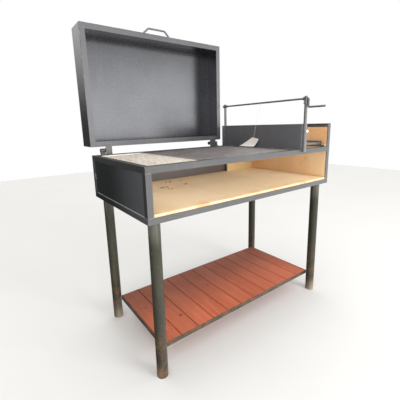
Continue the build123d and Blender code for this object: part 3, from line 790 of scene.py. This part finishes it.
def make_ember_grate(material, weld, rng):
    """Round rods between two flat side bars."""
    low, high = EMBER_LOW, EMBER_HIGH
    rods, welds = bmesh.new(), Welds(rng)
    rod_z = low.z + EMBER_ROD_R + WALL
    first_y = low.y + 2 * EMBER_ROD_R
    pitch = (high.y - low.y - 4 * EMBER_ROD_R) / (EMBER_RODS - 1)
    inner = (low.x + EMBER_SIDE, high.x - EMBER_SIDE)
    half_turn = [math.pi * step / 20 for step in range(21)]
    for index in range(EMBER_RODS):
        y = first_y + index * pitch
        ends = (inner[0] - 0.6, y, rod_z), (inner[1] + 0.6, y, rod_z)
        round_bar(rods, *ends, EMBER_ROD_R - 0.05, 0.8, rng, sides=16)
        for x in (inner[0] + 0.5, inner[1] - 0.5):
            centre = Vector((x, y, rod_z))
            arc = [
                centre + Vector((0, math.cos(turn), math.sin(turn))) * EMBER_ROD_R
                for turn in half_turn
            ]
            welds.bead(arc, 1.4, up=Vector((1, 0, 0)))
    middle_z = (low.z + high.z) / 2
    for x in (low.x + EMBER_SIDE / 2, high.x - EMBER_SIDE / 2):
        ends = (Vector((x, low.y, middle_z)), Vector((x, high.y, middle_z)))
        sweep(rods, wavy(*ends, 0.0, rng), box_section(EMBER_SIDE, high.z - low.z))
    make_piece("ember_grate_rods", rods, material, "ember_grate", ["ember_grate"])
    welds.done("ember_grate_welds", weld, "ember_grate", "grate_steel")


# ---------------- welds


GROUND_R = 1.3
SEAM_R = 1.7


def leg_spans():
    """The lowest and highest corners of each leg."""
    return [span_of(node) for node in NODES if node.startswith("leg_")]


def leg_top_welds(weld, rng):
    """A full bead round each leg under the body."""
    welds = Welds(rng)
    for low, high in leg_spans():
        centre = ((low.x + high.x) / 2, (low.y + high.y) / 2, high.z - 1.0)
        welds.ring(centre, (high.x - low.x) / 2 + 0.9, 2.8)
    welds.done("leg_top_welds", weld, "table", "frame_paint")


def corner_pairs(low, high, reach):
    """Each corner of a rectangle with the point a mitre reaches inwards."""
    for x, side_x in ((low.x, 1), (high.x, -1)):
        for y, side_y in ((low.y, 1), (high.y, -1)):
            yield (x, y), (x + side_x * reach, y + side_y * reach)


def frame_welds(weld, rng):
    """Mitres and butt joints of the body frame, and stitches that hold the sheets."""
    welds = Welds(rng)
    sunk = 0.75 * GROUND_R
    seam_low, seam_high = BODY_BOTTOM + ANGLE, BODY_TOP - ANGLE
    near, far = ANGLE, BODY_D - ANGLE

    def levels(x, low, high):
        """Both levels at the left end, and the low one at the right, where the rails are raised."""
        return (low, high) if x == 0 else (low,)

    for (x0, y0), (x1, y1) in corner_pairs(Vector((0, 0, 0)), Vector((BODY_L, BODY_D, 0)), ANGLE):
        for z in levels(x0, BODY_BOTTOM + sunk, BODY_TOP - sunk):
            welds.line((x0, y0, z), (x1, y1, z), GROUND_R)
    for x0, x1 in ((0, ANGLE), (BODY_L - ANGLE, BODY_L)):
        for y in (sunk, BODY_D - sunk):
            for z in levels(x0, seam_low, seam_high):
                welds.line((x0 + 1, y, z), (x1 - 1, y, z), GROUND_R)
    for y0, y1 in ((0, near), (far, BODY_D)):
        for x, z in ((sunk, seam_low), (sunk, seam_high), (BODY_L - sunk, seam_low)):
            welds.line((x, y0 + 1, z), (x, y1 - 1, z), GROUND_R)
    for x, top in ((WALL, seam_high), (BODY_L - WALL, RAISED_TOP - ANGLE)):
        welds.line((x, near, seam_low), (x, far, seam_low), GROUND_R)
        welds.stitches((x, near, top), (x, far, top), SEAM_R)
        for y in (near, far):
            welds.stitches((x, y, seam_low), (x, y, top), SEAM_R, pitch=90.0)
    y = BODY_D - WALL
    welds.stitches((ANGLE, y, seam_low), (BODY_L - ANGLE, y, seam_low), SEAM_R)
    welds.stitches((ANGLE, y, seam_high), (DIVIDER_HIGH.x, y, seam_high), SEAM_R)
    for x in (ANGLE, BODY_L - ANGLE):
        welds.stitches((x, y, seam_low), (x, y, seam_high), SEAM_R, pitch=90.0)
    welds.done("frame_welds", weld, "table", "frame_paint")


def divider_welds(weld, rng):
    """Seams of the divider plate, its edge bars and the two post sockets."""
    welds = Welds(rng)
    left, right = DIVIDER_LOW.x, DIVIDER_HIGH.x
    for x in (left, right):
        welds.stitches((x, ANGLE, BODY_TOP), (x, BODY_D - ANGLE, BODY_TOP), SEAM_R, pitch=95.0)
    bar_y = span_of("divider_uprights")[1].y - WALL
    welds.stitches((left, ANGLE, BODY_TOP), (left, ANGLE, RAISED_TOP), SEAM_R * 0.8, 14.0, 34.0)
    welds.stitches((left, bar_y, BODY_TOP), (left, bar_y, RAISED_TOP), SEAM_R, 16.0, 40.0)
    for low, high in loose_parts("post_sockets"):
        centre = (low + high) / 2
        inward, edge_y = (1, 0.0) if centre.y < 0 else (-1, BODY_D)
        radius = (high.x - low.x) / 2
        out = abs(centre.y - edge_y)
        reach = math.sqrt(radius**2 - out**2) + 0.4
        face_y = edge_y - inward * 0.9
        for x in (centre.x - reach, centre.x + reach):
            welds.line((x, face_y, low.z + 1), (x, face_y, BODY_TOP + 1), SEAM_R)
        first = math.asin(out / radius)
        swept = math.pi - 2 * first
        steps = round(radius * swept / RIPPLE_STEP)
        over_rail = []
        for step in range(steps + 1):
            turn = first + swept * step / steps
            along, across = radius * math.cos(turn), inward * radius * math.sin(turn)
            over_rail.append(Vector((centre.x + along, centre.y + across, BODY_TOP + 0.8)))
        welds.bead(over_rail, SEAM_R)
        x, y = right + 1.1, edge_y + inward
        welds.stitches((x, y, BODY_TOP), (x, y, RAISED_TOP), 2.3, 26.0, 36.0)
    welds.done("divider_welds", weld, "table", "frame_paint")


def shelf_welds(weld, rng):
    """Mitres of the shelf frame and the welds that hold it between the legs."""
    welds = Welds(rng)
    z = SHELF_LOW.z + 0.4
    for (x0, y0), (x1, y1) in corner_pairs(SHELF_LOW, SHELF_HIGH, SHELF_HIGH.z - SHELF_LOW.z):
        welds.line((x0, y0, z), (x1, y1, z), GROUND_R)
    for low, high in leg_spans():
        centre = (low + high) / 2
        to_middle_x = 1 if centre.x < BODY_L / 2 else -1
        to_middle_y = 1 if centre.y < BODY_D / 2 else -1
        reach = (high.x - low.x) / 2 * math.sqrt(0.5) + 0.4
        for lean in (-1.6, 1.6):
            x = centre.x + to_middle_x * (reach + lean)
            y = centre.y + to_middle_y * (reach - lean)
            welds.line((x, y, SHELF_LOW.z + 1), (x, y, SHELF_HIGH.z - 1), 2.6)
    welds.done("shelf_welds", weld, "table", "leg_tube")


def lid_welds(weld, rng):
    """Mitres of the lid rim, stitches round the mouth, and rings at the handle's feet."""
    welds = Welds(rng)
    left, right, bottom, top = RIM_LOW.x, RIM_HIGH.x, RIM_LOW.z, RIM_HIGH.z
    mitre_y, seam_y = RIM_LOW.y + 0.8, RIM_LOW.y + 0.9
    for x, side_x in ((left, 1), (right, -1)):
        for z, side_z in ((bottom, 1), (top, -1)):
            end = (x + side_x * ANGLE, mitre_y, z + side_z * ANGLE)
            welds.line((x, mitre_y, z), end, 1.1)
    seams = (
        ((left, bottom), (left, top), 95.0),
        ((right, bottom), (right, top), 95.0),
        ((left, bottom), (right, bottom), 31.0),
        ((left, top), (right, top), 95.0),
    )
    for (x0, z0), (x1, z1), pitch in seams:
        welds.stitches((x0, seam_y, z0), (x1, seam_y, z1), 1.3, 14.0, pitch)
    handle_low, handle_high = span_of("lid_handle")
    foot_y = (handle_low.y + handle_high.y) / 2
    radius = (handle_high.y - handle_low.y) / 2
    for x in (handle_low.x + radius, handle_high.x - radius):
        welds.ring((x, foot_y, LID_HIGH.z + 0.3), radius + 0.9, 1.9)
    welds.done("lid_welds", weld, "lid", "lid_paint")


LUG_CLEAR = 2.2


def hinge_welds(weld, rng):
    """Beads on the lugs and the hinge bases. A base has none beside its lug, which turns there."""
    on_lid, on_table = Welds(rng), Welds(rng)
    y = RIM_LOW.y - 0.4
    for low, high in loose_parts("hinge_lugs"):
        for x in (low.x, high.x):
            on_lid.line((x, y, RIM_LOW.z + 1), (x, y, high.z - 1), 1.8)
        on_lid.line((low.x, y, high.z), (high.x, y, high.z), 1.8)
    y = BODY_D + 0.6
    lid_middle = (LID_LOW.x + LID_HIGH.x) / 2
    for low, high in loose_parts("hinge_bases"):
        outer, by_lug = low.x, high.x - LUG_CLEAR
        if high.x >= lid_middle:
            outer, by_lug = high.x, low.x + LUG_CLEAR
        on_table.line((outer, y, low.z + 2), (outer, y, BODY_TOP - 3), 1.8)
        on_table.line((outer, y, low.z), (by_lug, y, low.z), 1.6)
    on_lid.done("hinge_lug_welds", weld, "lid", "dark_steel")
    on_table.done("hinge_base_welds", weld, "table", "dark_steel")


def spatter(zinc, rng):
    """Weld spatter stuck to the inside of the lid beside the rim's left leg."""
    bm = bmesh.new()
    wall_y = LID_HIGH.y - (LID_LOW.y - RIM_LOW.y) - 2.0
    for _ in range(46):
        share = rng.random() ** 1.7
        x = RIM_LOW.x + ANGLE + abs(rng.gauss(0, 14)) + 4
        z = LID_LOW.z + 40 + share * 320
        radius = rng.uniform(0.5, 1.5)
        turned = Matrix.Translation(at(x, wall_y, z)) @ Matrix.Scale(radius * MM, 4)
        bmesh.ops.create_icosphere(bm, subdivisions=2, radius=1.0, matrix=turned)
    make_piece("lid_spatter", bm, zinc, "lid")


# ---------------- swing tag

STRING_D = 1.5
STRING_ROUTE = [
    (904.0, 298.0, 1148.8),
    (899.0, 299.0, 1116.0),
    (889.0, 301.0, 1082.0),
    (880.5, 304.0, 1046.0),
    (875.0, 307.5, 1010.0),
    (872.5, 313.0, 980.0),
    (872.5, 318.0, 958.5),
]
CARD_CORNERS = {
    (0, 1): (277.0, 949.0),
    (1, 1): (329.0, 958.0),
    (0, 0): (313.0, 904.0),
    (1, 0): (437.0, 902.0),
}
CARD_T = 0.35
CARD_GRID = 14


def make_string(material):
    """The string as a smooth line from the loop on the shaft to the card."""
    data = bpy.data.curves.new("tag_string_line", "CURVE")
    data.dimensions = "3D"
    data.bevel_depth = STRING_D * MM / 2
    data.bevel_resolution = 3
    data.resolution_u = 10
    line = data.splines.new("NURBS")
    line.points.add(len(STRING_ROUTE) - 1)
    for point, place in zip(line.points, STRING_ROUTE):
        point.co = (*at(*place), 1.0)
    line.order_u = 3
    line.use_endpoint_u = True
    data.materials.append(material)
    string = bpy.data.objects.new("tag_string_line", data)
    bpy.context.scene.collection.objects.link(string)
    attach(string, "mast")
    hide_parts("tag_string")
    loop = make_string_loop(material)


def make_string_loop(material):
    """Two turns of string round the shaft, and the knot under it."""
    bm = bmesh.new()
    collar_low, collar_high = span_of("shaft_collars")
    shaft_z = (collar_low.z + collar_high.z) / 2
    x, y, knot_z = STRING_ROUTE[0]
    radius = shaft_z - knot_z - 0.2
    turns = []
    steps = 28
    for index in range(2 * steps):
        turn = math.tau * index / steps
        drift = 1.5 * math.cos(turn / 2)
        turns.append(Vector((x + radius * math.sin(turn), y + drift, shaft_z - radius * math.cos(turn))))
    sweep(bm, turns, round_section(STRING_D / 2, 8), up=Vector((0, 1, 0)), closed=True)
    knot = Matrix.Translation(at(x - 0.6, y, knot_z - 1.6)) @ Matrix.Diagonal((1.6, 1.5, 2.0, 1.0))
    bmesh.ops.create_icosphere(bm, subdivisions=3, radius=MM, matrix=knot)
    return make_piece("tag_string_loop", bm, material, "mast")


def make_card(material):
    """A bent card that has curled in the heat, with its lower edge folded over."""
    low, high = span_of("swing_tag")
    mid_x = (low.x + high.x) / 2
    bm = bmesh.new()
    layers = []
    for thick in (-CARD_T, CARD_T):
        rows = []
        for row in range(CARD_GRID + 1):
            v = row / CARD_GRID
            places = []
            for column in range(CARD_GRID + 1):
                u = column / CARD_GRID
                top = [a + (b - a) * u for a, b in zip(CARD_CORNERS[0, 1], CARD_CORNERS[1, 1])]
                bottom = [a + (b - a) * u for a, b in zip(CARD_CORNERS[0, 0], CARD_CORNERS[1, 0])]
                y, z = (b + (t - b) * v for t, b in zip(top, bottom))
                curl = 5.0 * math.sin(math.pi * u) * (1 - v) - 3.0 * math.sin(math.pi * v)
                fold = -4.0 * max(0.0, 0.16 - v) / 0.16
                places.append(bm.verts.new(at(mid_x - curl + fold + thick, y, z)))
            rows.append(places)
        layers.append(rows)
    for rows in layers:
        for first, second in zip(rows, rows[1:]):
            for column in range(CARD_GRID):
                bm.faces.new((first[column], first[column + 1], second[column + 1], second[column]))
    rims = []
    for rows in layers:
        rim = rows[0][:-1] + [row[-1] for row in rows[:-1]]
        rim += rows[-1][:0:-1] + [row[0] for row in rows[:0:-1]]
        rims.append(rim)
    for index in range(len(rims[0])):
        following = (index + 1) % len(rims[0])
        bm.faces.new((rims[0][index], rims[0][following], rims[1][following], rims[1][index]))
    return make_piece("blank_card", bm, material, "mast", ["swing_tag"])


# ---------------- CAD nodes


def soften(node, width):
    """Breaks a CAD node's hard edges for the light, without touching its mesh."""
    piece = NODES[node]
    weld = piece.modifiers.new("join", "WELD")
    weld.merge_threshold = 0.00001
    flat = piece.modifiers.new("flat_faces", "DECIMATE")
    flat.decimate_type = "DISSOLVE"
    flat.angle_limit = math.radians(1.0)
    round_edges = piece.modifiers.new("edges", "BEVEL")
    round_edges.width = width * MM
    round_edges.segments = 2
    round_edges.limit_method = "ANGLE"
    round_edges.angle_limit = math.radians(35)
    round_edges.harden_normals = False
    even = piece.modifiers.new("even_light", "WEIGHTED_NORMAL")
    even.keep_sharp = False
    piece.data.shade_smooth()


def named(*starts):
    """CAD nodes whose names start with one of these words."""
    return [node for node in sorted(NODES) if node.startswith(starts)]


# ---------------- studio


BRIGHT_SIDE = Vector((0.6, -0.8, 0.0))
DIM_SIDE_LIGHT = 0.04
BRIGHT_SIDE_LIGHT = 2.25
SKY_LIGHT = 1.3
TREE_LIGHT = 0.08


def sky():
    """Open sky over ground that is sunlit in front on the right, with dim trees behind that ground."""
    world = bpy.data.worlds.new("studio")
    bpy.context.scene.world = world
    world.use_nodes = True
    graph = Graph(world.node_tree)
    direction = graph.add("ShaderNodeTexCoord").outputs["Generated"]
    height = graph.axis(direction, "Z")
    toward = graph.dot(direction, BRIGHT_SIDE)
    ground = graph.band(toward, -0.75, 0.85, DIM_SIDE_LIGHT, BRIGHT_SIDE_LIGHT)
    ground = graph.math("MULTIPLY", ground, graph.band(height, 0.14, 0.27, 1.0, TREE_LIGHT))
    low_sky = graph.band(height, 0.0, 0.35, 0.0, SKY_LIGHT)
    low_sky = graph.math("MULTIPLY", low_sky, graph.band(toward, 0.9, 0.5))
    above = graph.math("MAXIMUM", graph.band(height, 0.3, 0.55, 0.0, SKY_LIGHT), low_sky)
    lit = graph.nodes["Background"]
    lit.inputs["Color"].default_value = (1.0, 0.995, 0.98, 1.0)
    graph.feed(lit.inputs["Strength"], graph.math("MAXIMUM", ground, above))
    shown = graph.add("ShaderNodeBackground", {"Color": (1.0, 1.0, 1.0, 1.0)})
    seen = graph.add("ShaderNodeLightPath").outputs["Is Camera Ray"]
    inputs = enumerate((seen, lit.outputs[0], shown.outputs[0]))
    choose = graph.add("ShaderNodeMixShader", inputs)
    graph.feed(graph.nodes["World Output"].inputs["Surface"], choose.outputs[0])


def soft_box(name, place, target, size, power):
    """A square area light that faces a point and leaves the gloss to the sky."""
    data = bpy.data.lights.new(name, "AREA")
    data.shape = "SQUARE"
    data.size = size
    data.energy = power
    lamp = bpy.data.objects.new(name, data)
    bpy.context.scene.collection.objects.link(lamp)
    place, target = Vector(place), Vector(target)
    lamp.rotation_euler = (target - place).to_track_quat("-Z", "Y").to_euler()
    lamp.location = place
    lamp.visible_glossy = False


def make_studio():
    sky()
    soft_box("key_light", (1.1, -3.5, 2.0), (0.1, 0.0, 0.8), 1.6, 84)
    soft_box("fill_light", (-2.2, -2.6, 1.0), (0.3, 0.1, 0.7), 2.0, 20)
    bm = bmesh.new()
    bmesh.ops.create_grid(bm, x_segments=2, y_segments=2, size=6.0)
    mesh = bpy.data.meshes.new("studio_floor")
    bm.to_mesh(mesh)
    bm.free()
    floor = bpy.data.objects.new("studio_floor", mesh)
    mesh.materials.append(floor_finish())
    bpy.context.scene.collection.objects.link(floor)
    floor.visible_glossy = False
    view = bpy.context.scene.view_settings
    view.view_transform = "Standard"
    view.look = "None"


# ---------------- put together


def dress_frame(zinc):
    """Finishes and edge sizes for the CAD nodes that stay."""
    frame_steel = steel("frame_steel", rgb(104, 104, 105), wear=0.25)
    lid_steel = steel("lid_steel", rgb(121, 122, 126), metallic=0.93, roughness=0.28, wear=0.25)
    rim_steel = steel("rim_steel", rgb(126, 126, 129), wear=0.22)
    # A darker, bluer copy of the frame paint: painted shade for the side sheets, the floor plate and the
    # left base rail, with the painted sheen toward the front.
    painted_shade_steel = steel("painted_shade_steel", rgb(84, 90, 92), metallic=0.93, wear=0.2, painted_front_sheen=0.62)
    divider_steel = steel("divider_steel", rgb(122, 122, 126), metallic=0.5, wear=0.3)
    dark_steel = steel("dark_steel", rgb(132, 132, 133), metallic=0.7, rust=0.3)
    inner_steel = steel("inner_steel", rgb(126, 121, 121), metallic=0.6, roughness=0.46, rust=0.2)
    legs = leg_finish("leg_paint", rgb(62, 61, 48), rgb(41, 40, 30), 0.22)
    shelf = leg_finish("shelf_paint", rgb(68, 65, 53), rgb(42, 40, 32), 0.4)
    coats = (
        (frame_steel, 0.6, "base_rail_front", "base_rail_right", "base_rail_back"),
        (frame_steel, 0.6, "top_rail", "upright"),
        # The left base rail takes the darker copy: painted shade on the shaded left side.
        (painted_shade_steel, 0.6, "base_rail_left"),
        (painted_shade_steel, 0.4, "left_panel", "right_panel", "floor_plate"),
        (rim_steel, 0.6, "raised_rails", "lid_rim"),
        (rim_steel, 0.5, "hinge_lugs", "hinge_bases"),
        (inner_steel, 0.6, "cross_rail", "ember_rail"),
        (inner_steel, 0.5, "grate_ledges", "brick_stop"),
        (inner_steel, 0.4, "back_panel"),
        (divider_steel, 0.4, "divider_plate", "divider_uprights"),
        (lid_steel, 0.5, "lid_shell"),
        (dark_steel, 0.5, "hinge_pins", "post_sockets", "mast_posts", "post_collar"),
        (dark_steel, 0.5, "crank_shaft", "shaft_collars", "lid_handle"),
        (legs, 0.6, "leg_"),
        (shelf, 0.6, "shelf_frame"),
        (zinc, 0.4, "shelf_screws", "socket_bolts"),
        (decking_finish(), 1.6, "shelf_board"),
    )
    for material, width, *starts in coats:
        for node in named(*starts):
            data = NODES[node].data
            data.materials.clear()
            data.materials.append(material)
            soften(node, width)
    rng = random.Random(11)
    for board in named("shelf_board"):
        NODES[board]["tone"] = rng.random()


make_camera()
make_studio()
make_card(card_finish())
make_string(string_finish())

ZINC = zinc_finish()
dress_frame(ZINC)

SLAB_BRICK = brick_finish("slab_brick", rgb(244, 204, 156), rgb(250, 222, 182))
WALL_BRICK = brick_finish("wall_brick", rgb(228, 172, 118), rgb(248, 216, 172))
BACK_BRICK = brick_finish("back_brick", rgb(226, 194, 136), rgb(240, 214, 160))
# Floor slabs from front to back and left to right; wall bricks from front to back, low then high.
SLAB_TONES = (1.0, 0.75, 0.8, 0.7, 0.85, 0.8)
WALL_TONES = (0.95, 0.1, 0.7, 0.2, 0.55, 0.15, 0.65, 0.3, 0.5, 0.2, 0.45, 0.1)
BACK_TONES = (0.6, 0.4, 0.2, 0.7, 0.5)
lay_bricks("worn_floor_slabs", "floor_slabs", SLAB_BRICK, SLAB_TONES, random.Random(3))
lay_bricks("worn_right_bricks", "right_wall_bricks", WALL_BRICK, WALL_TONES, random.Random(5))
lay_bricks("worn_back_bricks", "back_wall_bricks", BACK_BRICK, BACK_TONES, random.Random(7))

CRUMB = brick_finish("burnt_crumb", rgb(158, 102, 60), rgb(190, 134, 86))
scatter_crumbs(CRUMB, random.Random(61))

WELD = weld_finish()
MESH_STEEL = grate_finish(
    "mesh_zinc", rgb(246, 240, 230), rgb(228, 220, 206), rgb(190, 158, 122), 0.4, 0.2, 0.5
)
BAR_STEEL = grate_finish(
    "bar_steel", rgb(150, 146, 148), rgb(118, 112, 114), rgb(112, 70, 54), 0.65, 0.6, 0.45
)
make_mesh_grate(MESH_STEEL, WELD, random.Random(13))
make_bar_grate("bar_grate_left", BAR_STEEL, WELD, random.Random(17))
make_bar_grate("bar_grate_right", BAR_STEEL, WELD, random.Random(19))
make_ember_grate(BAR_STEEL, WELD, random.Random(23))

leg_top_welds(WELD, random.Random(29))
frame_welds(WELD, random.Random(31))
divider_welds(WELD, random.Random(37))
shelf_welds(WELD, random.Random(41))
lid_welds(WELD, random.Random(43))
hinge_welds(WELD, random.Random(47))
spatter(ZINC, random.Random(53))
